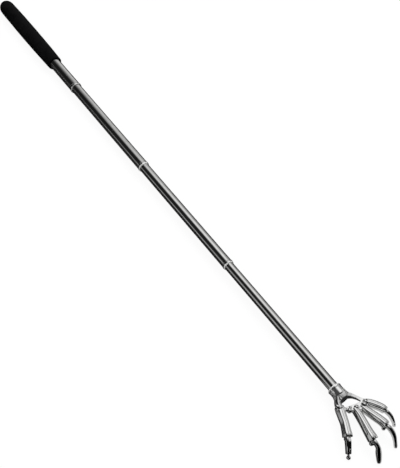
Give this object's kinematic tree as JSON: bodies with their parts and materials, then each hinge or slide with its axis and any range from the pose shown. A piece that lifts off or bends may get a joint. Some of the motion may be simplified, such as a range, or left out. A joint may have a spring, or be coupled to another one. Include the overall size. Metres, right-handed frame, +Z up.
{
  "type": "telescoping back scratcher",
  "caption": "Pocket back scratcher: black foam grip, nested polished tubes that slide and turn, and an open chromed hand with curved claw fingers.",
  "frame": {"origin": "on the tube axis, in the middle of the bare stretch of outer tube in front of the grip", "axes": "+X along the tubes from the grip to the hand, +Z up out of the back of the hand, so the fingertips point down to -Z"},
  "size_m": [0.551, 0.0392, 0.015],
  "materials": {
    "foam": "matte closed-cell foam",
    "tube_steel": "polished",
    "chrome": "bright chrome plate",
    "brass": "turned",
    "bronze": "spring strip",
    "stud_steel": "turned",
    "plug_plastic": "moulded"
  },
  "bodies": {
    "root": {"grip": "foam", "stage_1_tube": "tube_steel", "butt_plug": "plug_plastic"},
    "stage_2_slider": {"stage_2_spring": "bronze"},
    "stage_2": {"stage_2_tube": "tube_steel", "stage_2_stop_sleeve": "brass", "stage_2_bush": "brass"},
    "stage_3_slider": {"stage_3_spring": "bronze"},
    "stage_3": {"stage_3_tube": "tube_steel", "stage_3_stop_sleeve": "brass", "stage_3_bush": "brass"},
    "stage_4_slider": {"stage_4_spring": "bronze"},
    "stage_4": {"stage_4_tube": "tube_steel", "stage_4_stop_sleeve": "brass", "stage_4_bush": "brass", "hand_stud": "stud_steel", "hand": "chrome"}
  },
  "joints": [
    {"name": "stage_2_slide", "type": "slide", "parent": "root", "child": "stage_2_slider", "axis": [1, 0, 0], "range_m": [-0.112, 0]},
    {"name": "stage_2_turn", "type": "hinge", "parent": "stage_2_slider", "child": "stage_2", "pos_m": [0, 0, 0], "axis": [1, 0, 0], "continuous": true},
    {"name": "stage_3_slide", "type": "slide", "parent": "stage_2", "child": "stage_3_slider", "axis": [1, 0, 0], "range_m": [-0.11, 0]},
    {"name": "stage_3_turn", "type": "hinge", "parent": "stage_3_slider", "child": "stage_3", "pos_m": [0, 0, 0], "axis": [1, 0, 0], "continuous": true},
    {"name": "stage_4_slide", "type": "slide", "parent": "stage_3", "child": "stage_4_slider", "axis": [1, 0, 0], "range_m": [-0.109, 0]},
    {"name": "stage_4_turn", "type": "hinge", "parent": "stage_4_slider", "child": "stage_4", "pos_m": [0, 0, 0], "axis": [1, 0, 0], "continuous": true}
  ]
}
